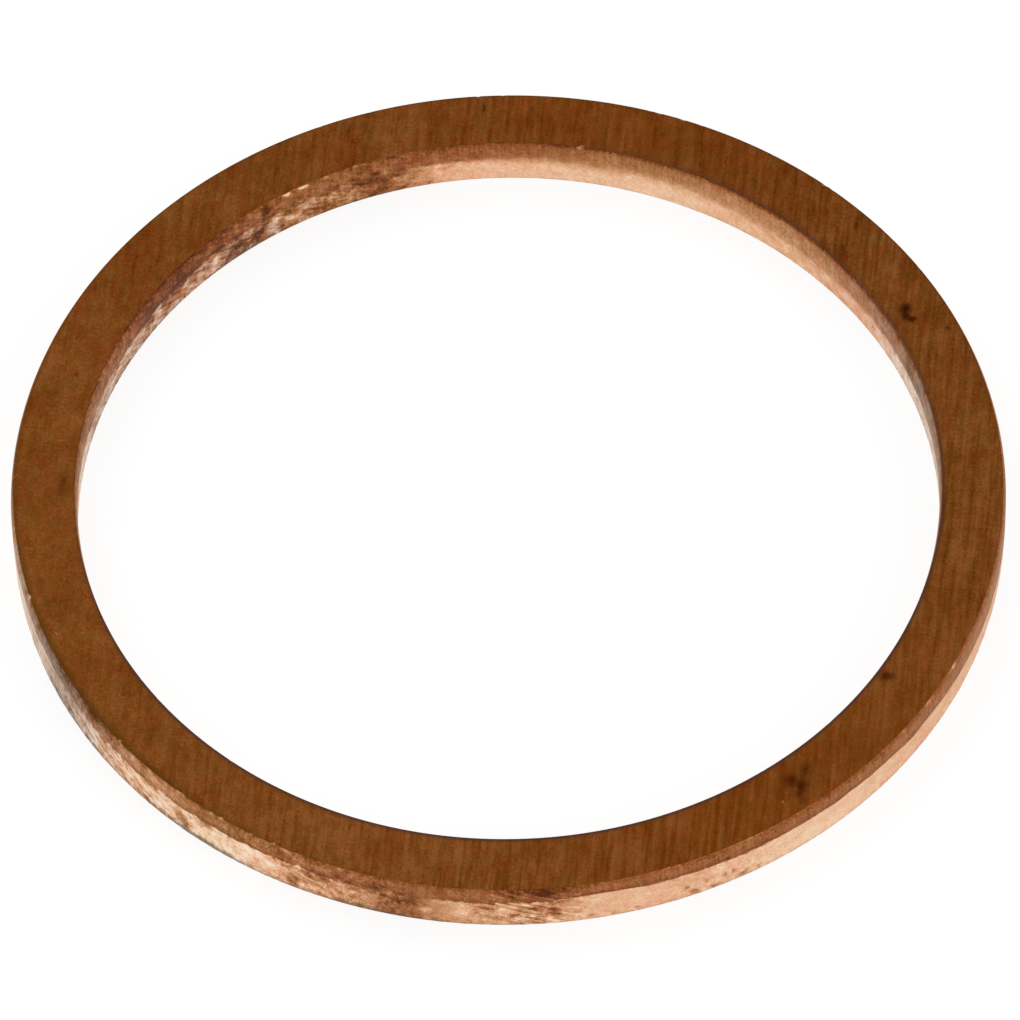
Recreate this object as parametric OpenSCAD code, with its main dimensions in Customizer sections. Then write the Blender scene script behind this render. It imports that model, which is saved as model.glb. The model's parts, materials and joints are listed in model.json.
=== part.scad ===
// Copper crush washer: a flat sealing ring punched in one stroke from soft copper sheet.
// Both walls keep the section that punching leaves. Below a rolled upper edge there is a
// smooth sheared land, and below the land the metal tore, so the torn wall is set back.
// The two flat faces are the sealing faces, and they were belt-ground after punching.
// The ring lies on its lower face, centred on the bore axis, with +Z up.

/* [Ring] */
// Diameter of the bore, measured at its smooth land
bore_d = 30; // [10:0.5:60]
// Width of the ring, from the bore land to the outer land
ring_w = 2.3; // [1.5:0.05:8]
// Thickness of the sheet after its faces were ground
sheet_t = 2; // [1.6:0.1:4]

/* [Outer edge] */
// How far the rolled edge leans in at the upper face
outer_roll_in = 0.1; // [0.04:0.01:0.2]
// How far the rolled edge reaches below the upper face
outer_roll_depth = 0.35; // [0.25:0.05:0.6]
// Height of the smooth land below the rolled edge
outer_land_h = 0.35; // [0.2:0.05:0.6]

/* [Bore edge] */
// How far the rolled edge leans back at the upper face
bore_roll_in = 0.08; // [0.04:0.01:0.2]
// How far the rolled edge reaches below the upper face
bore_roll_depth = 0.5; // [0.25:0.05:0.6]
// Height of the smooth land below the rolled edge
bore_land_h = 0.5; // [0.2:0.05:0.6]

/* [Torn zone] */
// How far the torn wall is set back from the land above it
torn_set_back = 0.02; // [0.01:0.01:0.05]
// Height of the slope between the land and the torn wall
torn_slope_h = 0.05; // [0.02:0.01:0.1]
// Break of the lower edge, left by tumbling
edge_break = 0.03; // [0.01:0.01:0.06]

/* [Hidden] */
$fn = 180;
copper_brown = "#7a4519";
bore_r = bore_d / 2;
outer_r = bore_r + ring_w;
// How far a cut runs past the metal that it removes
past = sheet_t / 4;

// Radius of the arc that is tangent to the wall and leans in by `lean` over `depth`
function roll_radius(lean, depth) = (lean * lean + depth * depth) / (2 * lean);

// What is missing above the rolled edge. The land is at x = 0 with the metal on the
// negative side, and the upper face is at y = 0.
module rolled_edge_cut(lean, depth) {
    arc_r = roll_radius(lean, depth);
    difference() {
        translate([-lean, -depth]) square([lean + past, depth + past]);
        translate([-arc_r, -depth]) circle(r = arc_r);
    }
}

// What is missing below the land, down to the broken lower edge. Same axes as above.
module torn_wall_cut(land_end) {
    polygon([
        [0, -land_end],
        [-torn_set_back, -land_end - torn_slope_h],
        [-torn_set_back, -sheet_t + edge_break],
        [-torn_set_back - edge_break - past, -sheet_t - past],
        [past, -sheet_t - past],
        [past, -land_end]
    ]);
}

module sheared_wall_cut(lean, depth, land_h) {
    rolled_edge_cut(lean, depth);
    torn_wall_cut(depth + land_h);
}

// Half of the ring's cross-section, at its real distance from the axis
module ring_section() {
    difference() {
        translate([bore_r, 0]) square([ring_w, sheet_t]);
        translate([outer_r, sheet_t])
            sheared_wall_cut(outer_roll_in, outer_roll_depth, outer_land_h);
        translate([bore_r, sheet_t]) mirror([1, 0])
            sheared_wall_cut(bore_roll_in, bore_roll_depth, bore_land_h);
    }
}

module washer() {
    color(copper_brown) rotate_extrude() ring_section();
}

washer();
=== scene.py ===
import json
import math

import bmesh
import bpy
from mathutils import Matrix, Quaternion, Vector, noise


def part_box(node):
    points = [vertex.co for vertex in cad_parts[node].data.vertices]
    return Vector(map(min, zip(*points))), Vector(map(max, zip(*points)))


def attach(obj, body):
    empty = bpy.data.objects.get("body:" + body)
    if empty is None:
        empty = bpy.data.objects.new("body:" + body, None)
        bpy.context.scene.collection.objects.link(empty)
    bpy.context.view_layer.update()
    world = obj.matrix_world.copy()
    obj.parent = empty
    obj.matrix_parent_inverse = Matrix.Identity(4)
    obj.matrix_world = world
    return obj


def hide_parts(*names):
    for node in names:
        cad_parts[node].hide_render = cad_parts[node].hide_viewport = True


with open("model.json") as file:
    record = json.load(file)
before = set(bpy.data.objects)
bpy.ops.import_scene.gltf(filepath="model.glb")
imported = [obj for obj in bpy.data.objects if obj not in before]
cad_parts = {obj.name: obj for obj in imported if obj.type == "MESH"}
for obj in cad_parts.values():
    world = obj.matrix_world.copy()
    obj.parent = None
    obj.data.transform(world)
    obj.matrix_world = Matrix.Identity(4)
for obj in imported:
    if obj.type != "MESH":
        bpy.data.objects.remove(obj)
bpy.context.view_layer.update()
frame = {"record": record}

# The ring is soft copper, punched from sheet in one stroke and then belt-ground on both flat faces.
# Punching leaves each wall with a rolled upper edge, a smooth sheared land and, below the land, a
# zone where the metal tore. Sizes are in millimetres until the finished mesh is scaled.
MM = 0.001
cad_low, cad_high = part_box("washer")
bore_mount = next(mount for mount in frame["record"]["mounts"] if mount["name"] == "bore")
outer_r = cad_high.x / MM
bore_r = bore_mount["dims"]["r_mm"]
sheet_t = cad_high.z / MM
mid_r = (outer_r + bore_r) / 2
torn_set_back = 0.02
torn_slope_h = 0.05
edge_break = 0.03
outer_wall = {"r": outer_r, "out": 1, "roll_in": 0.10, "roll_depth": 0.35, "land_h": 0.35}
bore_wall = {"r": bore_r, "out": -1, "roll_in": 0.08, "roll_depth": 0.50, "land_h": 0.50}
roll_steps = 8
land_steps = 5
slope_steps = 1
torn_steps = 13
rim_loops = (0.03, 0.10, 0.20)
upper_face_steps = 18
lower_face_steps = 2
sectors = 24
sector_steps = 46
weld = 0.0005
ring = bmesh.new()


def draw(start, end, steps):
    """Draws a straight stretch of the profile between two (radius, height) points."""
    rise = Vector((end[0] - start[0], 0, end[1] - start[1])) / steps
    tip = ring.verts.new((start[0], 0, start[1]))
    bmesh.ops.spin(ring, geom=[tip], cent=(0, 0, 0), axis=(0, 0, 1), angle=0, dvec=rise, steps=steps)


def draw_sheared_wall(wall):
    """Draws one wall's profile, from its upper corner down to its lower corner."""
    out = wall["out"]
    land_top = sheet_t - wall["roll_depth"]
    land_end = land_top - wall["land_h"]
    torn_r = wall["r"] - out * torn_set_back
    arc_r = (wall["roll_in"] ** 2 + wall["roll_depth"] ** 2) / (2 * wall["roll_in"])
    tip = ring.verts.new((wall["r"], 0, land_top))
    bmesh.ops.spin(
        ring, geom=[tip], cent=(wall["r"] - out * arc_r, 0, land_top), axis=(0, -out, 0),
        angle=math.asin(wall["roll_depth"] / arc_r), steps=roll_steps)
    draw((wall["r"], land_top), (wall["r"], land_end), land_steps)
    draw((wall["r"], land_end), (torn_r, land_end - torn_slope_h), slope_steps)
    draw((torn_r, land_end - torn_slope_h), (torn_r, edge_break), torn_steps)
    draw((torn_r, edge_break), (torn_r - out * edge_break, 0), 1)


def draw_flat_face(outer_corner, bore_corner, height, steps):
    """Draws a flat face between two corner radii, with close loops beside each corner."""
    stops = [outer_corner] + [outer_corner - inset for inset in rim_loops]
    stops += [bore_corner + inset for inset in reversed(rim_loops)] + [bore_corner]
    for k, (start, end) in enumerate(zip(stops, stops[1:])):
        draw((start, height), (end, height), steps if k == len(rim_loops) else 1)


for wall in (outer_wall, bore_wall):
    wall["corner_r"] = wall["r"] - wall["out"] * wall["roll_in"]
    wall["foot_r"] = wall["r"] - wall["out"] * (torn_set_back + edge_break)
    draw_sheared_wall(wall)
draw_flat_face(outer_wall["corner_r"], bore_wall["corner_r"], sheet_t, upper_face_steps)
draw_flat_face(outer_wall["foot_r"], bore_wall["foot_r"], 0, lower_face_steps)
bmesh.ops.remove_doubles(ring, verts=ring.verts[:], dist=weld)
sector_angle = 2 * math.pi / sectors
bmesh.ops.spin(
    ring, geom=ring.verts[:] + ring.edges[:], cent=(0, 0, 0), axis=(0, 0, 1),
    angle=sector_angle, steps=sector_steps)
bmesh.ops.spin(
    ring, geom=ring.verts[:] + ring.edges[:] + ring.faces[:], cent=(0, 0, 0), axis=(0, 0, 1),
    angle=sector_angle * (sectors - 1), steps=sectors - 1, use_duplicate=True)
bmesh.ops.remove_doubles(ring, verts=ring.verts[:], dist=weld)
bmesh.ops.recalc_face_normals(ring, faces=ring.faces[:])
flat = 1e-4
for face in ring.faces:
    face.smooth = True
    heights = [vert.co.z for vert in face.verts]
    face.material_index = 0 if min(heights) > sheet_t - flat or max(heights) < flat else 1


# The marks of punching and handling. The land ends at a different height round the ring, the torn
# metal is rough, the tool has dragged metal over it in places, and the upper edges are nicked.
def around(azimuth, least, swells):
    """A level at an azimuth in degrees from +X: a least amount, and the swells on it. A swell is an
    amount, its azimuth, and its half-width, at which it has fallen smoothly to 0."""
    total = least
    for amount, middle, half_width in swells:
        away = abs((azimuth - middle + 180) % 360 - 180)
        share = max(0.0, 1 - away / half_width)
        total += amount * share * share * (3 - 2 * share)
    return total


outer_wall["levels"] = {
    "land_more": (0.0, [
        (0.80, 5, 55), (-0.10, 62, 14), (0.12, 90, 50), (0.14, 128, 18), (-0.10, 279, 8), (-0.07, 286, 24),
        (0.12, 322, 3)]),
    "ragged": (0.015, [(0.06, 228, 40), (0.06, 262, 18), (0.05, 70, 26), (0.05, 140, 40)]),
    "edge": (0.04, [(0.12, 200, 26), (0.14, 256, 8), (0.08, 340, 25)]),
    "seam": (0.07, [(0.05, 238, 20), (0.02, 305, 30)]),
    "torn_tone": (0.86, [
        (0.12, 223, 8), (0.08, 235, 9), (0.09, 308, 18), (-0.30, 207, 9), (0.16, 187, 12)]),
    "smear": (0.0, [
        (0.15, 222, 14), (0.45, 247, 9), (0.85, 256.5, 8), (0.25, 262, 6), (0.40, 271, 9), (0.5, 64, 14),
        (0.35, 99, 12), (0.45, 120, 10), (0.3, 156, 12)]),
    "rough": (0.16, [
        (0.35, 197, 16), (0.7, 219, 26), (0.62, 248, 18), (0.6, 271, 10), (0.15, 295, 9), (0.6, 62, 28),
        (0.45, 110, 26), (0.5, 152, 24)]),
    "dragged": (0.2, [(1.2, 272, 9), (0.7, 215, 25), (0.9, 66, 16), (0.8, 120, 18), (0.5, 155, 14)]),
    "slant": (2.4, []),
    # The next two levels grey the wall, most where it is seen edge-on at the ring's ends: partly a thin
    # grey film, partly a painted grey reflection. The lighter top, land and torn tones near 187° go with
    # it.
    "veil": (0.0, [(0.92, 204, 26), (0.42, 180, 28)]),
    "land_veil": (0.0, [(0.74, 203, 23), (0.50, 186, 12), (0.22, 225, 18)]),
    "nick": (0.0, [(0.5, 330, 12), (0.9, 232, 34), (0.4, 60, 80)]),
    "lip": (0.10, [(0.32, 177, 12), (0.15, 212, 16), (0.08, 225, 12), (0.07, 312, 16)]),
    # The top and land tones, with the lip, make the rolled upper edge and the land darker than the torn
    # zone: partly the copper's own tan, partly a painted reflection of the darker surroundings that their
    # smooth metal mirrors.
    "top_tone": (0.42, [
        (0.22, 225, 11), (0.07, 239, 9), (-0.08, 207, 11), (0.18, 187, 11), (-0.12, 273, 8)]),
    "land_tone": (0.35, [
        (0.15, 225, 11), (0.06, 239, 9), (-0.08, 205, 11), (0.25, 187, 11), (0.03, 335, 30)]),
    # The foot level is a painted contact shadow at the bottom of the wall.
    "foot": (0.12, [(0.5, 208, 18), (0.62, 231, 18), (0.5, 253, 14), (0.2, 268, 8), (0.1, 292, 9)]),
    "pink": (0.1, [(-0.3, 178, 14), (-0.4, 234, 9), (-0.3, 205, 12), (0.2, 287, 10)]),
    # The last two levels are painted shade on the face beside this wall's upper corner: how strong, and how
    # far in it reaches.
    "rim": (0.0, [(0.8, 212, 62), (0.6, 30, 60), (0.6, 90, 60), (0.6, 150, 60)]),
    "rim_w": (0.12, [(0.25, 215, 60)])}
bore_wall["levels"] = {
    "land_more": (0.0, [
        (0.10, 15, 40), (0.12, 43, 18), (-0.13, 110, 50), (0.10, 153, 10), (0.12, 167, 16), (0.12, 212, 20),
        (-0.12, 250, 22), (0.10, 300, 24)]),
    "ragged": (0.02, [(0.08, 122, 34), (0.04, 20, 14), (0.05, 250, 80)]),
    "edge": (0.05, [(0.34, 50, 42), (0.36, 80, 26), (0.10, 125, 30), (0.12, 165, 20)]),
    "seam": (0.02, [(0.06, 145, 25)]),
    "torn_tone": (0.83, [
        (0.08, 22, 14), (0.08, 68, 16), (0.06, 86, 18), (-0.06, 147, 12), (-0.13, 160, 11),
        (0.10, 172, 12)]),
    "smear": (0.0, [
        (1.15, 107, 11), (0.25, 116, 8), (1.0, 126, 19), (0.65, 145, 14), (0.3, 161, 12), (0.5, 222, 14),
        (0.35, 246, 10), (0.55, 268, 14), (0.3, 305, 12)]),
    "rough": (0.16, [
        (0.58, 126, 40), (0.5, 158, 22), (0.35, 171, 14), (0.5, 14, 20), (0.12, 40, 25), (0.6, 215, 28),
        (0.4, 262, 24), (0.5, 310, 26)]),
    "dragged": (0.2, [(0.6, 143, 26), (0.3, 112, 20), (0.9, 220, 18), (0.7, 268, 16), (0.5, 315, 20)]),
    "slant": (-2.0, []),
    # The next two levels grey the bore wall where it is seen edge-on: partly a thin grey film, partly a
    # painted grey reflection.
    "veil": (0.0, [(0.78, 169, 33), (0.86, 13, 40), (0.52, 133, 38)]),
    "land_veil": (0.0, [(0.70, 11, 30), (0.34, 38, 22), (0.14, 173, 14)]),
    "nick": (0.0, [(0.6, 118, 8), (0.4, 102, 5), (0.4, 79, 4), (0.4, 63, 5), (0.4, 148, 20)]),
    "lip": (0.0, [(0.22, 34, 30), (0.20, 62, 60), (0.16, 145, 38)]),
    "top_tone": (0.28, [(0.14, 45, 50), (0.06, 122, 12), (-0.08, 144, 14)]),
    "land_tone": (0.36, [
        (0.24, 52, 44), (0.03, 92, 12), (0.02, 114, 10), (-0.06, 128, 14), (-0.24, 141, 15),
        (-0.03, 165, 9)]),
    # Painted contact shadow at the bottom of the bore wall.
    "foot": (0.08, [(0.35, 108, 10), (0.55, 128, 10), (0.3, 147, 12), (0.3, 240, 50), (0.3, 320, 20)]),
    "pink": (0.0, [(0.6, 142, 22), (0.4, 95, 16), (0.4, 30, 20)]),
    # Painted shade on the face beside the bore's upper corner: how strong, and how far in it reaches.
    "rim": (0.0, [(1.3, 215, 45), (1.3, 260, 45), (1.3, 305, 45), (1.2, 350, 45), (0.7, 50, 55)]),
    "rim_w": (0.17, [(0.17, 55, 65)])}
# Patches on the walls: azimuth, height, half the length along the wall, half the height, and how much
# lighter they are than the metal round them. The dark ones are pits and dragged metal. The light ones
# along the upper edge, near a height of 1.95, are bare copper at nicks with painted glints.
outer_wall["patches"] = [
    (207.5, 0.40, 0.70, 0.22, -0.25), (202.5, 0.45, 0.50, 0.22, -0.22), (198.0, 0.60, 0.40, 0.40, -0.20),
    (204.5, 0.95, 0.60, 0.30, -0.14), (200.0, 1.15, 0.40, 0.25, 0.14), (214.5, 1.05, 0.50, 0.25, 0.12),
    (220.0, 1.92, 0.50, 0.12, 0.15), (243.0, 1.96, 0.14, 0.12, 0.30), (249.6, 1.96, 0.12, 0.12, 0.30),
    (229.0, 0.65, 0.45, 0.40, -0.28), (232.0, 1.15, 0.45, 0.28, -0.38), (235.5, 0.70, 1.20, 0.50, 0.12),
    (217.5, 1.30, 0.22, 0.40, -0.28), (220.8, 0.62, 0.22, 0.20, -0.22), (222.4, 1.15, 0.25, 0.25, -0.22),
    (224.4, 0.70, 0.28, 0.20, -0.20), (228.3, 1.05, 0.20, 0.22, -0.24), (211.6, 0.95, 0.22, 0.25, -0.18),
    (226.5, 0.80, 0.40, 0.30, 0.10), (239.0, 0.70, 0.18, 0.30, -0.18), (241.0, 0.80, 0.50, 0.40, 0.12),
    (242.8, 1.10, 0.28, 0.20, -0.22), (244.2, 0.55, 0.22, 0.22, -0.22), (248.3, 0.50, 0.15, 0.25, -0.25),
    (250.5, 1.10, 0.55, 0.22, -0.18), (256.6, 1.10, 1.30, 0.55, -0.19), (254.0, 1.60, 0.60, 0.30, -0.10),
    (245.6, 1.05, 0.20, 0.25, -0.22), (247.6, 1.10, 0.22, 0.22, -0.24), (251.8, 0.70, 0.25, 0.30, -0.20),
    (257.5, 0.40, 0.90, 0.30, -0.12), (259.5, 0.65, 0.30, 0.24, 0.28), (263.5, 0.70, 0.60, 0.40, 0.16),
    (266.8, 1.00, 0.32, 0.20, -0.34), (269.8, 0.60, 0.30, 0.25, -0.28), (272.7, 1.00, 0.36, 0.18, -0.34),
    (273.8, 0.75, 0.30, 0.15, -0.30), (272.5, 0.40, 0.35, 0.15, -0.28), (270.0, 1.80, 0.35, 0.20, -0.14),
    (275.2, 1.15, 0.45, 0.13, -0.24), (268.6, 1.25, 0.20, 0.20, -0.18), (274.3, 0.50, 0.25, 0.14, -0.22),
    (273.2, 1.75, 0.70, 0.22, -0.18), (276.9, 1.60, 0.18, 0.12, 0.25), (278.4, 0.20, 0.22, 0.13, -0.32),
    (281.2, 0.15, 0.20, 0.10, -0.25), (283.8, 0.22, 0.12, 0.12, -0.25), (289.7, 0.55, 0.13, 0.17, -0.50),
    (290.6, 0.22, 0.22, 0.15, -0.45), (292.2, 0.50, 0.12, 0.16, -0.42), (293.0, 0.16, 0.35, 0.11, -0.45),
    (294.4, 0.50, 0.12, 0.16, -0.42), (295.5, 0.58, 0.12, 0.16, -0.50), (294.8, 1.45, 0.13, 0.13, -0.25),
    (296.7, 0.18, 0.20, 0.12, -0.50), (297.2, 0.32, 0.12, 0.16, -0.45), (298.7, 0.20, 0.14, 0.14, -0.45),
    (321.0, 1.94, 0.28, 0.10, 0.20), (326.0, 1.94, 0.30, 0.10, 0.22), (331.8, 1.95, 0.18, 0.12, 0.45),
    (22.0, 0.35, 0.50, 0.25, -0.22), (38.5, 0.80, 0.35, 0.30, -0.26), (44.0, 0.45, 0.70, 0.30, 0.12),
    (61.0, 0.95, 0.40, 0.20, -0.28), (66.5, 0.50, 0.25, 0.25, -0.30), (82.0, 0.70, 0.80, 0.40, 0.14),
    (97.0, 1.05, 0.30, 0.25, -0.30), (101.5, 0.40, 0.60, 0.25, -0.20), (118.0, 0.75, 0.50, 0.35, -0.24),
    (123.5, 1.60, 0.45, 0.22, -0.14), (139.0, 0.55, 0.30, 0.35, -0.28), (147.5, 0.85, 0.70, 0.40, 0.14),
    (158.0, 0.30, 0.40, 0.20, -0.30), (166.0, 1.00, 0.35, 0.25, -0.22)]
bore_wall["patches"] = [
    (120.3, 1.96, 0.26, 0.12, 0.75), (117.9, 1.96, 0.32, 0.12, 0.75), (114.3, 1.96, 0.16, 0.12, 0.45),
    (79.4, 1.96, 0.16, 0.09, 0.35), (74.6, 1.96, 0.12, 0.09, 0.30), (61.5, 1.96, 0.12, 0.09, 0.30),
    (123.8, 1.65, 0.26, 0.32, -0.32), (122.8, 1.25, 0.22, 0.20, -0.22), (128.6, 1.15, 0.40, 0.25, -0.20),
    (132.0, 1.20, 0.70, 0.25, -0.18), (107.3, 1.25, 0.34, 0.28, -0.36), (110.3, 1.30, 0.17, 0.22, -0.20),
    (112.9, 1.25, 0.17, 0.22, -0.20), (108.8, 0.90, 0.55, 0.30, -0.14), (118.5, 0.95, 0.40, 0.18, -0.18),
    (129.0, 0.60, 0.90, 0.45, -0.16), (124.8, 0.70, 0.45, 0.45, -0.16), (116.8, 0.40, 0.45, 0.35, -0.12),
    (122.3, 0.85, 0.34, 0.30, 0.34), (119.7, 0.45, 0.55, 0.36, 0.42), (132.6, 0.55, 0.40, 0.50, 0.38),
    (113.7, 0.65, 0.34, 0.30, 0.30), (126.6, 0.50, 0.18, 0.20, 0.25), (104.3, 0.55, 0.45, 0.30, 0.28),
    (110.8, 0.50, 0.24, 0.22, 0.18), (105.9, 1.20, 0.14, 0.20, 0.20), (97.5, 0.75, 0.40, 0.12, -0.16),
    (95.0, 0.98, 0.70, 0.22, -0.16), (113.5, 0.95, 0.90, 0.22, -0.16), (104.0, 0.80, 0.60, 0.20, -0.14),
    (103.4, 0.12, 0.22, 0.13, -0.50), (99.8, 0.12, 0.22, 0.13, -0.42), (139.3, 1.20, 0.32, 0.22, -0.25),
    (145.8, 1.10, 0.22, 0.22, -0.20), (137.0, 0.60, 0.30, 0.40, -0.14), (138.7, 0.70, 0.25, 0.36, 0.24),
    (144.0, 0.65, 0.24, 0.36, 0.26), (150.0, 0.90, 0.60, 0.30, 0.14), (154.8, 0.60, 0.50, 0.36, 0.18),
    (159.2, 0.80, 0.50, 0.40, 0.18), (166.3, 1.05, 0.40, 0.22, -0.20), (158.8, 1.40, 0.30, 0.30, -0.14),
    (30.5, 0.55, 0.17, 0.22, -0.25), (27.5, 1.20, 0.22, 0.16, -0.20), (24.0, 0.80, 0.14, 0.36, 0.22),
    (20.0, 1.40, 0.45, 0.36, -0.25), (16.3, 1.40, 0.50, 0.36, -0.25), (192.0, 0.60, 0.40, 0.35, -0.24),
    (204.0, 0.85, 0.55, 0.30, 0.16), (211.5, 1.25, 0.30, 0.25, -0.28), (223.0, 0.45, 0.45, 0.30, -0.26),
    (236.0, 0.70, 0.80, 0.40, 0.14), (244.5, 0.95, 0.30, 0.25, -0.30), (258.0, 0.40, 0.60, 0.25, -0.22),
    (269.0, 1.20, 0.35, 0.22, -0.26), (281.0, 0.65, 0.50, 0.35, 0.16), (292.5, 0.30, 0.35, 0.20, -0.32),
    (305.0, 0.85, 0.40, 0.30, -0.24), (318.0, 1.55, 0.45, 0.25, -0.16), (329.0, 0.55, 0.60, 0.35, -0.20),
    (344.0, 0.90, 0.45, 0.30, 0.14)]
# Levels of the flat faces: how much darker the brown is round the ring, how plain the grinding lines
# are, and how red the brown is
film_swells = (0.0, [
    (0.4, 60, 45), (0.2, 120, 40), (0.1, 190, 40), (0.1, 303, 14), (-0.2, 328, 32), (-0.15, 245, 40)])
lined_swells = (1.0, [(-0.75, 188, 62), (-0.35, 135, 40), (0.35, 288, 40)])
red_swells = (0.0, [(0.8, 305, 60), (0.6, 75, 45)])

land_waver = 0.03
land_waver_size = 0.9
ragged_size = 0.22
torn_rough = 0.010
grain_size = 0.16
coarse_grain_size = 0.40
coarse_grain_share = 0.6
pit_depth = 0.06
patch_wander = 0.6
patch_wander_size = 0.25
patch_end = 1.25
patch_limit = 2
nick_size = 0.22
nick_depth = 0.06
nick_drop = 0.03
nick_reach = 0.15
nick_start = 0.5
nick_gain = 0.45
nick_bare_and_glint = 2.2
seam_above = 0.10
seam_reach = 0.18
lip_depth = 0.20
grind_azimuth = 83


def patch_tone(place, azimuth, patches):
    """Adds up the patches at a place on a wall. Their edges wander."""
    wander = 1 + patch_wander * noise.noise(place / patch_wander_size)
    total = 0.0
    for middle, height, half_length, half_height, tone in patches:
        along = math.radians((azimuth - middle + 180) % 360 - 180) * mid_r
        if abs(along) < patch_limit * half_length:
            reach = wander * math.hypot(along / half_length, (place.z - height) / half_height)
            share = max(0.0, patch_end - reach)
            total += tone * min(1.0, share * share)
    return total


# Spots on the upper face: azimuth, distance from the bore, then length along the grinding lines and
# width across them, then strength. The dark ones are stains and the bright ones are bare metal.
stains = [
    (27.4, 0.84, 0.46, 0.36, 0.95), (26.5, 0.72, 0.42, 0.22, 0.95), (25.6, 0.82, 0.22, 0.30, 0.8),
    (22.5, 1.76, 0.18, 0.16, 0.7), (41.6, 1.65, 0.55, 0.12, 0.7), (161.0, 0.90, 0.20, 0.16, 0.7),
    (306.8, 1.25, 1.15, 0.80, 0.44), (308.7, 0.95, 0.72, 0.44, 0.56), (306.4, 0.93, 0.54, 0.54, 0.60),
    (306.8, 1.30, 0.66, 0.48, 0.68), (306.1, 1.57, 0.58, 0.46, 0.62), (305.9, 1.83, 0.52, 0.42, 0.52),
    (326.3, 0.43, 0.42, 0.70, 0.55),
    (178.4, 0.50, 1.00, 0.36, 0.46), (92.0, 1.60, 0.50, 0.09, 0.6), (109.0, 1.60, 0.55, 0.09, 0.6),
    (133.0, 1.10, 0.70, 0.10, 0.5), (143.0, 1.30, 0.60, 0.10, 0.5), (277.0, 1.60, 0.60, 0.12, 0.5),
    (272.0, 0.70, 0.50, 0.10, 0.4), (213.0, 0.90, 0.14, 0.12, 0.6), (252.0, 1.20, 0.16, 0.14, 0.5)]
bare_spots = [
    (303.6, 1.55, 0.10, 0.10, 0.8), (201.0, 1.80, 0.10, 0.10, 0.8), (211.8, 0.70, 0.12, 0.09, 0.6),
    (171.6, 0.75, 0.12, 0.55, 0.45), (163.5, 1.60, 0.08, 0.30, 0.5)]


def spot_share(place, spots):
    """How far inside the strongest of the spots a place on the upper face is, from 0 to 1."""
    along = Vector((math.cos(math.radians(grind_azimuth)), math.sin(math.radians(grind_azimuth))))
    best = 0.0
    for azimuth, from_bore, length, width, strength in spots:
        turn = math.radians(azimuth)
        spot_r = bore_r + from_bore
        away = place.xy - Vector((math.cos(turn) * spot_r, math.sin(turn) * spot_r))
        reach = math.hypot(away.dot(along) / length, along.cross(away) / width)
        best = max(best, strength * (1 - reach))
    return best


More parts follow.
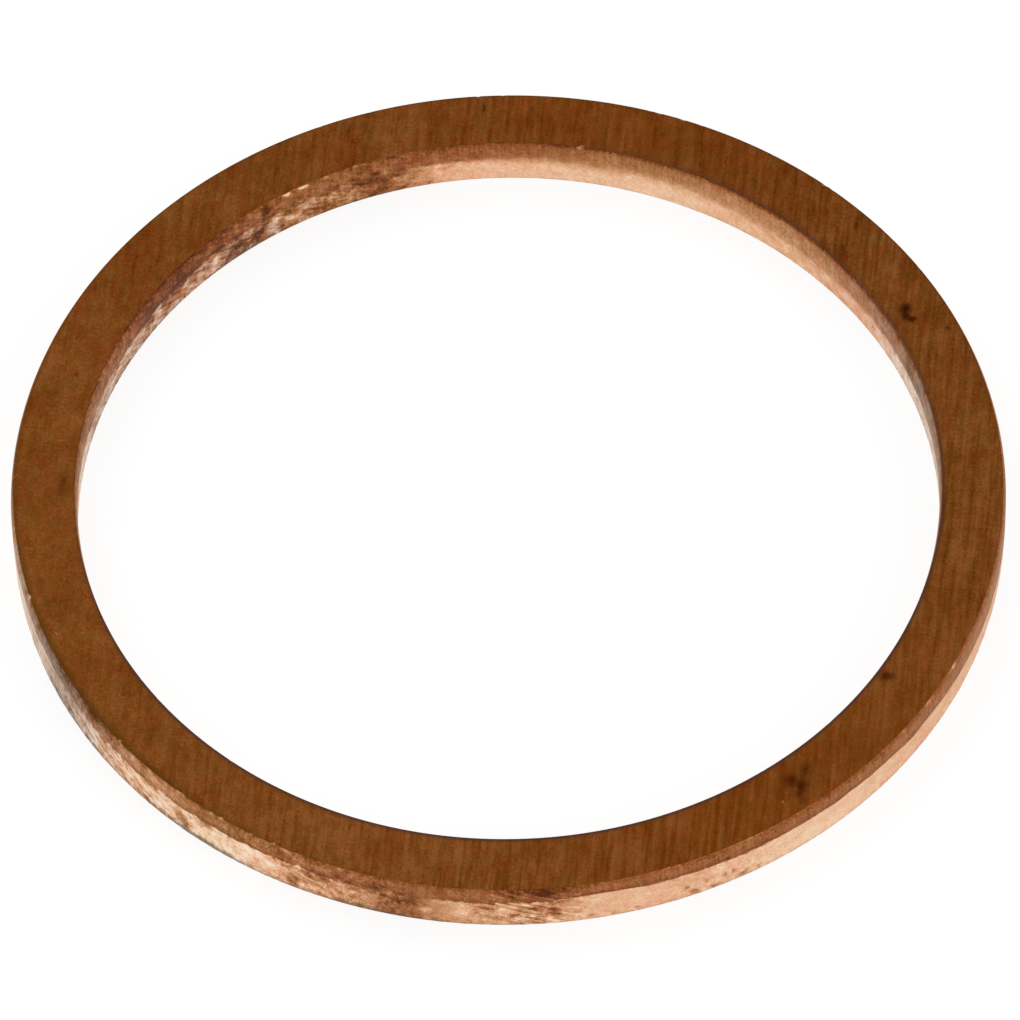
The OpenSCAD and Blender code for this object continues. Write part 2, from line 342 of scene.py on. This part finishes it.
# The marks that each vertex carries to the materials
tear_marks = ("tear", "burnish", "patch", "bare")
wall_marks = (
    "torn_tone", "smear", "rough", "dragged", "slant", "veil", "land_veil", "foot", "edge", "pink")
face_marks = ("film", "lined", "red", "outer_rim", "bore_rim", "stain")
marks = {name: [] for name in tear_marks + wall_marks + face_marks}
levels_at = {}
for vert in ring.verts:
    place = vert.co.copy()
    radius = place.xy.length
    outward = place.xy / radius
    azimuth = math.degrees(math.atan2(place.y, place.x)) % 360
    depth = max(0.0, sheet_t - place.z)
    wall = outer_wall if radius > mid_r else bore_wall
    column = (wall["out"], round(azimuth, 2))
    if column not in levels_at:
        levels_at[column] = {name: around(azimuth, *level) for name, level in wall["levels"].items()}
    level = levels_at[column]
    land_end = wall["roll_depth"] + wall["land_h"]
    local_end = land_end + level["land_more"]
    local_end += land_waver * noise.noise(place / land_waver_size)
    local_end += level["ragged"] * noise.noise(Vector((place.x, place.y, 0)) / ragged_size)
    corner_away = math.hypot(radius - wall["corner_r"], depth)
    nick = max(0.0, noise.noise(place / nick_size) - nick_start + nick_gain * level["nick"])
    nick *= max(0.0, 1 - corner_away / nick_reach)
    on_face = flat > depth or depth > sheet_t - flat
    if wall["roll_depth"] < depth <= land_end:
        depth = wall["roll_depth"] + (depth - wall["roll_depth"]) * (
            (local_end - wall["roll_depth"]) / wall["land_h"])
    elif depth > land_end:
        depth = local_end + (depth - land_end) * (sheet_t - local_end) / (sheet_t - land_end)
    patch = 0.0 if on_face else patch_tone(place, azimuth, wall["patches"])
    dig = nick_depth * nick
    if depth > wall["roll_depth"] and not on_face:
        slope = min(1.0, max(0.0, 0.5 + (depth - local_end) / (2 * level["edge"])))
        radius = wall["r"] - wall["out"] * torn_set_back * slope * slope * (3 - 2 * slope)
    if depth > local_end and not on_face:
        grain = 1 + noise.noise(place / grain_size)
        grain += coarse_grain_share * noise.noise(place / coarse_grain_size)
        dig += torn_rough * max(0.0, grain) + pit_depth * max(0.0, -patch)
    radius -= wall["out"] * dig
    vert.co = Vector((outward.x * radius, outward.y * radius, sheet_t - depth - nick_drop * nick))
    marks["tear"].append(local_end - depth)
    down = min(1.0, depth / local_end)
    seam = level["seam"] * max(0.0, 1 - abs(local_end - depth - seam_above) / seam_reach)
    lip = level["lip"] * max(0.0, 1 - depth / lip_depth)
    # The tone of the rolled upper edge and the land: partly the copper's own tan, partly a painted
    # reflection of the darker surroundings that their smooth metal mirrors.
    marks["burnish"].append(
        level["top_tone"] + (level["land_tone"] - level["top_tone"]) * math.sqrt(down) - seam - lip)
    marks["patch"].append(patch)
    for name in wall_marks:
        marks[name].append(level[name])
    upper_face = depth < flat
    # Bare copper at the nicks, with painted glints, and bare spots on the upper face.
    marks["bare"].append(max(nick_bare_and_glint * nick, spot_share(place, bare_spots) if upper_face else 0.0))
    marks["film"].append(around(azimuth, *film_swells))
    marks["lined"].append(around(azimuth, *lined_swells))
    marks["red"].append(around(azimuth, *red_swells))
    # Painted shade on the face beside each upper corner, fading with the distance from the corner.
    rim = level["rim"] * max(0.0, 1 - abs(radius - wall["corner_r"]) / level["rim_w"])
    marks["outer_rim"].append(rim if wall is outer_wall else 0.0)
    marks["bore_rim"].append(rim if wall is bore_wall else 0.0)
    marks["stain"].append(spot_share(place, stains) if upper_face else 0.0)

bmesh.ops.scale(ring, vec=(MM, MM, MM), verts=ring.verts[:])
ring_mesh = bpy.data.meshes.new("copper_ring")
ring.to_mesh(ring_mesh)
ring.free()
for name, values in marks.items():
    ring_mesh.attributes.new(name, "FLOAT", "POINT").data.foreach_set("value", values)
copper_ring = bpy.data.objects.new("copper_ring", ring_mesh)
bpy.context.scene.collection.objects.link(copper_ring)
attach(copper_ring, "root")
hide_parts("washer")


# Belt-ground copper, gone brown. Grinding left fine straight lines, all one way across the ring, and
# the brown film on them is thin, so the eye sees a dull warm sheen with faint lighter and darker
# lines, patches of a redder or an olive brown, painted shade along the face's edges next to the walls,
# and a few stains.
def linear(code):
    """An sRGB hex code as a linear colour with alpha."""
    parts = [int(code[i:i + 2], 16) / 255 for i in (1, 3, 5)]
    return [c / 12.92 if c <= 0.04045 else ((c + 0.055) / 1.055) ** 2.4 for c in parts] + [1.0]


def add(tree, kind, settings=None, **inputs):
    """Adds a node. settings are its own properties. inputs are values, or sockets to link, by the
    socket's name, or by i and its number."""
    node = tree.nodes.new(kind)
    for key, value in (settings or {}).items():
        setattr(node, key, value)
    for key, value in inputs.items():
        numbered = key[0] == "i" and key[1:].isdigit()
        socket = node.inputs[int(key[1:]) if numbered else key.replace("_", " ")]
        if isinstance(value, bpy.types.NodeSocket):
            tree.links.new(value, socket)
        else:
            socket.default_value = value
    return node


ground = bpy.data.materials.new("belt_ground_copper")
ground.use_nodes = True
tree = ground.node_tree
shader = tree.nodes["Principled BSDF"]
whole = add(tree, "ShaderNodeTexCoord").outputs["Object"]
in_mm = add(tree, "ShaderNodeMapping", Vector=whole, Rotation=(0, 0, math.radians(90 - grind_azimuth)),
            Scale=(1 / MM,) * 3).outputs["Vector"]

# Each pattern's size across and along the grinding lines in millimetres, its detail, and how much
# it counts in the tone of the brown
line_patterns = {
    "lines": (0.25, 2.4, 3, 0.55), "fine_lines": (0.13, 1.7, 4, 0.78), "long_lines": (0.17, 5.0, 3, 0.38)}
spot_patterns = {
    "pores": (0.10, 0.10, 1, 0.62), "flecks": (0.30, 0.45, 2, 0.58), "patches": (1.5, 1.5, 2, 0.50),
    "hue": (0.45, 0.45, 2, 0.0)}
pattern = {}
tone_sum = {}
for group, patterns in (("lines", line_patterns), ("spots", spot_patterns)):
    total = -sum(weight for _, _, _, weight in patterns.values()) / 2
    for name, (across, along, detail, weight) in patterns.items():
        cell = add(tree, "ShaderNodeVectorMath", {"operation": "MULTIPLY"},
                   i0=in_mm, i1=(1 / across, 1 / along, 1 / across)).outputs["Vector"]
        pattern[name] = add(
            tree, "ShaderNodeTexNoise", Vector=cell, Scale=1.0, Detail=detail).outputs["Fac"]
        total = add(tree, "ShaderNodeMath", {"operation": "MULTIPLY_ADD"},
                    i0=pattern[name], i1=weight, i2=total).outputs[0]
    tone_sum[group] = total
mark = {name: add(tree, "ShaderNodeAttribute", {"attribute_name": name}).outputs["Fac"]
        for name in face_marks + ("bare",)}
film_weight = -0.25
tone = 0.52
for share, weight in (
        (mark["film"], film_weight), (tone_sum["spots"], 1.0), (tone_sum["lines"], mark["lined"])):
    tone = add(tree, "ShaderNodeMath", {"operation": "MULTIPLY_ADD"},
               i0=share, i1=weight, i2=tone).outputs[0]
# The brown is partly the film's own colour and partly a painted reflection of the darker surroundings that
# the flat face mirrors.
brown = add(tree, "ShaderNodeValToRGB", Fac=tone)
dark, light = brown.color_ramp.elements
dark.position = 0.15
dark.color = linear("#5c2802")
light.position = 0.85
light.color = linear("#8e582c")
brown.color_ramp.elements.new(0.5).color = linear("#754116")
colour = brown.outputs["Color"]
stain_ragged = 0.7
stain_edge = add(tree, "ShaderNodeMath", {"operation": "MULTIPLY_ADD"},
                 i0=pattern["flecks"], i1=stain_ragged, i2=mark["stain"]).outputs[0]
# Each coat is a share, the range over which it goes from none to full, its strength and its colour
ground_coats = [
    (mark["red"], 0.0, 1.0, 0.35, "#823c08"), (pattern["hue"], 0.45, 0.70, 0.30, "#803c12"),
    (pattern["hue"], 0.55, 0.30, 0.30, "#6c4a14"),
    # The next two coats are painted shade along the face's edges next to the walls.
    (mark["outer_rim"], 0.0, 1.0, 0.85, "#46300a"), (mark["bore_rim"], 0.0, 1.0, 0.85, "#4c3226"),
    (stain_edge, 0.40, 1.05, 0.90, "#3e1400"), (stain_edge, 0.95, 1.25, 0.80, "#1e0c00"),
    # The last coat is bare copper, with painted glints at the nicks.
    (mark["bare"], 0.2, 0.6, 0.7, "#c08858")]
for share, none, full, strength, code in ground_coats:
    share = add(tree, "ShaderNodeMapRange", {"interpolation_type": "SMOOTHSTEP"},
                Value=share, From_Min=none, From_Max=full, To_Max=strength).outputs[0]
    colour = add(tree, "ShaderNodeMix", {"data_type": "RGBA"},
                 i0=share, i6=colour, i7=linear(code)).outputs[2]
tree.links.new(colour, shader.inputs["Base Color"])
shader.inputs["Metallic"].default_value = 1.0
mean_roughness = 0.42
line_roughness = 0.5
line_depth = 0.01
roughness = add(tree, "ShaderNodeMath", {"operation": "MULTIPLY_ADD"},
                i0=tone_sum["lines"], i1=line_roughness, i2=mean_roughness).outputs[0]
tree.links.new(roughness, shader.inputs["Roughness"])
relief = add(tree, "ShaderNodeBump", Height=tone_sum["lines"], Strength=0.5, Distance=line_depth * MM)
tree.links.new(relief.outputs["Normal"], shader.inputs["Normal"])
ring_mesh.materials.append(ground)

# Sheared copper. The land was burnished by the tool and is tan with faint upright lines; the tan is
# partly the copper's own colour and partly a painted reflection of the darker surroundings that the
# smooth land mirrors. The torn zone below it is bare, pale and grainy. Where the tool dragged metal
# over the torn zone it is brown in slanting streaks, and here and there, most where the walls are seen
# edge-on, they are greyed, partly by a thin grey film and partly by a painted grey reflection.
sheared = bpy.data.materials.new("sheared_copper")
sheared.use_nodes = True
tree = sheared.node_tree
shader = tree.nodes["Principled BSDF"]
whole = add(tree, "ShaderNodeTexCoord").outputs["Object"]
in_mm = add(tree, "ShaderNodeMapping", Vector=whole, Scale=(1 / MM,) * 3).outputs["Vector"]
height = add(tree, "ShaderNodeSeparateXYZ", Vector=in_mm).outputs["Z"]
mark = {name: add(tree, "ShaderNodeAttribute", {"attribute_name": name}).outputs["Fac"]
        for name in tear_marks + wall_marks}
twist = add(tree, "ShaderNodeMath", {"operation": "MULTIPLY"}, i0=height, i1=mark["slant"]).outputs[0]
twist = add(tree, "ShaderNodeMath", {"operation": "DIVIDE"}, i0=twist, i1=mid_r).outputs[0]
slanted = add(tree, "ShaderNodeVectorRotate", {"rotation_type": "Z_AXIS"},
              Vector=in_mm, Angle=twist).outputs[0]
# Each pattern's space, its size along the wall and upright in millimetres, and its detail
wall_patterns = {
    "grain": (in_mm, 0.09, 0.09, 2), "draw_lines": (in_mm, 0.12, 1.6, 2), "blots": (in_mm, 0.65, 0.6, 3),
    "streaks": (slanted, 0.30, 0.9, 2), "flakes": (in_mm, 0.22, 0.26, 2), "hue": (in_mm, 0.55, 0.45, 2)}
pattern = {}
for name, (space, along, upright, detail) in wall_patterns.items():
    cell = add(tree, "ShaderNodeVectorMath", {"operation": "MULTIPLY"},
               i0=space, i1=(1 / along, 1 / along, 1 / upright)).outputs["Vector"]
    pattern[name] = add(
        tree, "ShaderNodeTexNoise", Vector=cell, Scale=1.0, Detail=detail).outputs["Fac"]
facet_size = 0.15
bend_size = 0.2
bend_reach = 0.3
bent = add(tree, "ShaderNodeTexNoise", Vector=in_mm, Scale=1 / bend_size, Detail=1.0).outputs["Color"]
facet_cell = add(tree, "ShaderNodeVectorMath", {"operation": "MULTIPLY_ADD"},
                 i0=bent, i1=(bend_reach,) * 3, i2=slanted).outputs["Vector"]
facets = add(tree, "ShaderNodeTexVoronoi", Vector=facet_cell, Scale=1 / facet_size).outputs["Color"]
pattern["facets"] = add(tree, "ShaderNodeSeparateXYZ", Vector=facets).outputs["X"]
# Sums of a start and weighted patterns. A pattern's middle is 0.5, so half of its weight comes off.
sums = {
    "land_edge": (mark["tear"], {"grain": 0.10}),
    "mottle": (0.0, {"blots": 1.4, "flakes": 1.1, "grain": 0.5, "facets": 0.35}),
    "drag": (0.0, {"streaks": 1.6}),
    "land_tone": (mark["burnish"], {"draw_lines": 0.28, "grain": 0.32}),
    "torn_tone": (mark["torn_tone"], {"grain": 0.25}),
    # The mottle of the greying, which is partly a thin grey film and partly a painted grey reflection.
    "film": (0.0, {"blots": 0.9, "flakes": 0.7})}
mixed = {}
for name, (start, weights) in sums.items():
    half = sum(weights.values()) / 2
    total = add(tree, "ShaderNodeMath", {"operation": "SUBTRACT"}, i0=start, i1=half).outputs[0]
    for source, weight in weights.items():
        total = add(tree, "ShaderNodeMath", {"operation": "MULTIPLY_ADD"},
                    i0=pattern[source], i1=weight, i2=total).outputs[0]
    mixed[name] = total
# The mottle frays the land's lower edge, smeared metal is darker, and the land is less mottled
fray_weight = -0.5
smear_weight = -0.45
land_rough_share = 0.38
land_rough_least = 0.08
bare_and_glint_weight = 0.5
patchy = add(tree, "ShaderNodeMath", {"operation": "MULTIPLY"},
             i0=mixed["mottle"], i1=mark["rough"]).outputs[0]
edge_place = add(tree, "ShaderNodeMath", {"operation": "MULTIPLY_ADD"},
                 i0=patchy, i1=fray_weight, i2=mixed["land_edge"]).outputs[0]
edge_place = add(tree, "ShaderNodeMath", {"operation": "DIVIDE"}, i0=edge_place, i1=mark["edge"]).outputs[0]
land_share = add(tree, "ShaderNodeMapRange", {"interpolation_type": "SMOOTHSTEP"},
                 Value=edge_place, From_Min=-1.0, From_Max=1.0).outputs[0]
torn_tone = add(tree, "ShaderNodeMath", {"operation": "MULTIPLY_ADD"},
                i0=mark["smear"], i1=smear_weight, i2=mixed["torn_tone"]).outputs[0]
land_rough = add(tree, "ShaderNodeMath", {"operation": "MULTIPLY_ADD"},
                 i0=mark["rough"], i1=land_rough_share, i2=land_rough_least).outputs[0]
tone = add(tree, "ShaderNodeMix", i0=land_share, i2=torn_tone, i3=mixed["land_tone"]).outputs[0]
rough = add(tree, "ShaderNodeMix", i0=land_share, i2=mark["rough"], i3=land_rough).outputs[0]
dragged = add(tree, "ShaderNodeMath", {"operation": "MULTIPLY"}, i0=rough, i1=mark["dragged"]).outputs[0]
# The patches and the nicks lift or lower the tone; along the upper edge the light ones are bare copper with
# painted glints.
for share, weight in (
        (mixed["mottle"], rough), (mixed["drag"], dragged), (mark["patch"], 1.0),
        (mark["bare"], bare_and_glint_weight)):
    tone = add(tree, "ShaderNodeMath", {"operation": "MULTIPLY_ADD"},
               i0=share, i1=weight, i2=tone).outputs[0]
# The tone picks the colour, of pinker or yellower copper or, where the walls are greyed, of the
# grey, which is partly a thin grey film and partly a painted grey reflection
ramps = {
    "pink": {0.0: "#542a1c", 0.17: "#763a20", 0.33: "#9c5834", 0.5: "#b67850", 0.67: "#d4966e",
             0.82: "#eaae8a", 1.0: "#fad2b4", 1.25: "#ffead8"},
    "gold": {0.0: "#543210", 0.17: "#70401a", 0.33: "#966030", 0.5: "#b08050", 0.67: "#ce9f72",
             0.82: "#e6bc92", 1.0: "#f8dcba", 1.25: "#fff0dc"},
    "film": {0.0: "#54463c", 0.35: "#8e7a6a", 0.67: "#c2aea0", 1.0: "#e6d8cc", 1.25: "#f4ece4"}}
lightest = 1.25
tone_share = add(tree, "ShaderNodeMath", {"operation": "DIVIDE"}, i0=tone, i1=lightest).outputs[0]
tint = {}
for name, stops in ramps.items():
    ramp = add(tree, "ShaderNodeValToRGB", Fac=tone_share)
    elements = ramp.color_ramp.elements
    for position in list(stops)[1:-1]:
        elements.new(position / lightest)
    for element, code in zip(elements, stops.values()):
        element.color = linear(code)
    tint[name] = ramp.outputs["Color"]
# Greying of the walls: partly a thin grey film, partly a painted grey reflection of the surroundings where
# the walls are seen edge-on.
grey_film_and_reflection_start = 0.25
grey_film_and_reflection_full = 0.95
grey_film_and_reflection_most = 0.9
veil = add(tree, "ShaderNodeMix", i0=land_share, i2=mark["veil"], i3=mark["land_veil"]).outputs[0]
veil = add(tree, "ShaderNodeMath", i0=veil, i1=mixed["film"]).outputs[0]
grey_film_and_reflection_share = add(tree, "ShaderNodeMapRange", {"interpolation_type": "SMOOTHSTEP"},
                 Value=veil, From_Min=grey_film_and_reflection_start, From_Max=grey_film_and_reflection_full, To_Max=grey_film_and_reflection_most).outputs[0]
pink_weight = -0.5
pinkest = 0.22
yellowest = 0.78
hue = add(tree, "ShaderNodeMath", {"operation": "MULTIPLY_ADD"},
          i0=mark["pink"], i1=pink_weight, i2=pattern["hue"]).outputs[0]
hue_share = add(tree, "ShaderNodeMapRange", Value=hue, From_Min=pinkest, From_Max=yellowest).outputs[0]
colour = add(tree, "ShaderNodeMix", {"data_type": "RGBA"},
             i0=hue_share, i6=tint["pink"], i7=tint["gold"]).outputs[2]
colour = add(tree, "ShaderNodeMix", {"data_type": "RGBA"},
             i0=grey_film_and_reflection_share, i6=colour, i7=tint["film"]).outputs[2]
# The bottom of the wall is painted darker: a painted contact shadow in the gap at the floor. Its upper
# edge is ragged, and higher where there is more of it.
foot_shade_ragged = 0.6
foot_shade_rise = -0.35
foot_shade_top = 0.48
foot_shade_full = 0.18
low = add(tree, "ShaderNodeMath", {"operation": "MULTIPLY_ADD"},
          i0=pattern["flakes"], i1=foot_shade_ragged, i2=height).outputs[0]
low = add(tree, "ShaderNodeMath", {"operation": "MULTIPLY_ADD"},
          i0=mark["foot"], i1=foot_shade_rise, i2=low).outputs[0]
low = add(tree, "ShaderNodeMapRange", {"interpolation_type": "SMOOTHSTEP"},
          Value=low, From_Min=foot_shade_top, From_Max=foot_shade_full).outputs[0]
foot_shade_share = add(tree, "ShaderNodeMath", {"operation": "MULTIPLY"}, i0=mark["foot"], i1=low).outputs[0]
colour = add(tree, "ShaderNodeMix", {"data_type": "RGBA"},
             i0=foot_shade_share, i6=colour, i7=linear("#54483c")).outputs[2]
tree.links.new(colour, shader.inputs["Base Color"])
shader.inputs["Metallic"].default_value = 1.0
shader.inputs["Roughness"].default_value = 0.45
shader.inputs["Specular Tint"].default_value = linear("#f6e8dc")
grain_depth = 0.01
relief = add(tree, "ShaderNodeBump", Height=pattern["grain"], Strength=0.5, Distance=grain_depth * MM)
tree.links.new(relief.outputs["Normal"], shader.inputs["Normal"])
ring_mesh.materials.append(sheared)

# The floor is a plain white table. It looks white to the camera and in the metal, and it still
# keeps the ring's soft contact shadow.
floor_half = 0.6
floor_gap = 0.005 * MM
table = bmesh.new()
bmesh.ops.create_grid(table, x_segments=1, y_segments=1, size=floor_half)
bmesh.ops.translate(table, vec=(0, 0, cad_low.z - floor_gap), verts=table.verts[:])
table_mesh = bpy.data.meshes.new("table")
table.to_mesh(table_mesh)
table.free()
table_top = bpy.data.objects.new("table", table_mesh)
bpy.context.scene.collection.objects.link(table_top)
paper = bpy.data.materials.new("white_paper")
paper.use_nodes = True
tree = paper.node_tree
shader = tree.nodes["Principled BSDF"]
paper_shade = 0.18
shader.inputs["Base Color"].default_value = (paper_shade, paper_shade, paper_shade, 1)
shader.inputs["Roughness"].default_value = 1.0
shader.inputs["Specular IOR Level"].default_value = 0.0
shader.inputs["Emission Color"].default_value = (1, 1, 1, 1)
paper_glow = 0.85
path = add(tree, "ShaderNodeLightPath").outputs
seen = add(tree, "ShaderNodeMath", {"operation": "MAXIMUM"},
           i0=path["Is Camera Ray"], i1=path["Is Glossy Ray"]).outputs[0]
seen = add(tree, "ShaderNodeMath", {"operation": "MAXIMUM"},
           i0=seen, i1=path["Is Transmission Ray"]).outputs[0]
glow = add(tree, "ShaderNodeMath", {"operation": "MULTIPLY"}, i0=seen, i1=paper_glow).outputs[0]
tree.links.new(glow, shader.inputs["Emission Strength"])
table_mesh.materials.append(paper)

# The light is a plain white room with a large soft lamp behind and to the left, and a weaker one in
# front and to the right.
world = bpy.data.worlds.new("white_room")
bpy.context.scene.world = world
world.use_nodes = True
room = world.node_tree.nodes["Background"]
room.inputs["Color"].default_value = (1, 1, 1, 1)
room.inputs["Strength"].default_value = 0.8
soft_lamps = {"key": ((-0.22, 0.26, 0.40), 0.25, 0.4), "fill": ((0.30, -0.25, 0.25), 0.25, 0.3)}
for name, (place, size, watts) in soft_lamps.items():
    data = bpy.data.lights.new(name, "AREA")
    data.size = size
    data.energy = watts
    lamp = bpy.data.objects.new(name, data)
    lamp.location = place
    lamp.rotation_mode = "QUATERNION"
    lamp.rotation_quaternion = (-Vector(place)).to_track_quat("-Z", "Y")
    bpy.context.scene.collection.objects.link(lamp)

# The camera stands well back with a long lens and looks down at the near side of the ring. The
# ring lies a little turned in the picture and a little above its middle.
camera_elevation = math.radians(53.47)
camera_distance = 0.4722
camera_roll = math.radians(-1.2)
pan_right = 0.049 * MM
pan_down = 0.306 * MM
lens_data = bpy.data.cameras.new("camera")
lens_data.sensor_width = 36
lens_data.lens = 478.7
lens_data.clip_start = 0.01
lens_data.clip_end = 10
camera = bpy.data.objects.new("camera", lens_data)
bpy.context.scene.collection.objects.link(camera)
back = Vector((0, -math.cos(camera_elevation), math.sin(camera_elevation)))
facing = (-back).to_track_quat("-Z", "Y") @ Quaternion((0, 0, 1), camera_roll)
pan = facing @ Vector((pan_right, -pan_down, 0))
camera.rotation_mode = "QUATERNION"
camera.rotation_quaternion = facing
camera.location = (cad_low + cad_high) / 2 + back * camera_distance + pan
bpy.context.scene.camera = camera
bpy.context.scene.view_settings.view_transform = "Standard"
